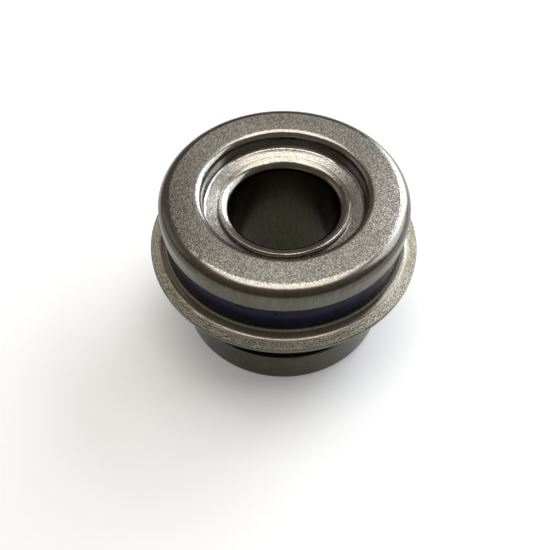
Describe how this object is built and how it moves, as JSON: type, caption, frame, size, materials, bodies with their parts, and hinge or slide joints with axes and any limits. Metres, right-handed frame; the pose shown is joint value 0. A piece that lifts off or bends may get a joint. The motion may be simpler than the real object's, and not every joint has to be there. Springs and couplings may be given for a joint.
{
  "type": "cartridge mechanical seal",
  "caption": "Unitised mechanical shaft seal with a drawn stainless flanged casing, blue sealing lacquer on its neck, and a flared shaft sleeve with an outer cup.",
  "frame": {"origin": "centre of the sleeve cup's base, on which the seal stands", "axes": "+Z along the shaft axis, from the sleeve's cup towards the casing's closed end"},
  "size_m": [0.041, 0.041, 0.0267],
  "materials": {
    "stainless_casing": "satin",
    "stainless_sleeve": "satin",
    "sealing_lacquer": "gloss",
    "rubber": "matte",
    "carbon": "lapped",
    "silicon_carbide": "lapped",
    "spring_steel": "satin"
  },
  "bodies": {
    "rotor": {"shaft_sleeve": "stainless_sleeve", "mating_ring": "silicon_carbide", "mating_ring_gasket": "rubber"},
    "seal_head": {"primary_ring": "carbon", "head_band": "spring_steel", "spring_seat": "spring_steel"},
    "stator": {"casing": "stainless_casing", "sealant_band": "sealing_lacquer", "bellows": "rubber", "bellows_clamp_ring": "spring_steel", "spring": "spring_steel"}
  },
  "joints": [
    {"name": "face_spin", "type": "hinge", "parent": "rotor", "child": "seal_head", "pos_m": [0, 0, 0.007], "axis": [0, 0, 1], "continuous": true},
    {"name": "face_slide", "type": "slide", "parent": "seal_head", "child": "stator", "axis": [0, 0, -1], "range_m": [0, 0.003], "stiffness_N_per_m": 3000, "springref_m": -0.002, "deforming": ["spring", "bellows"]}
  ]
}
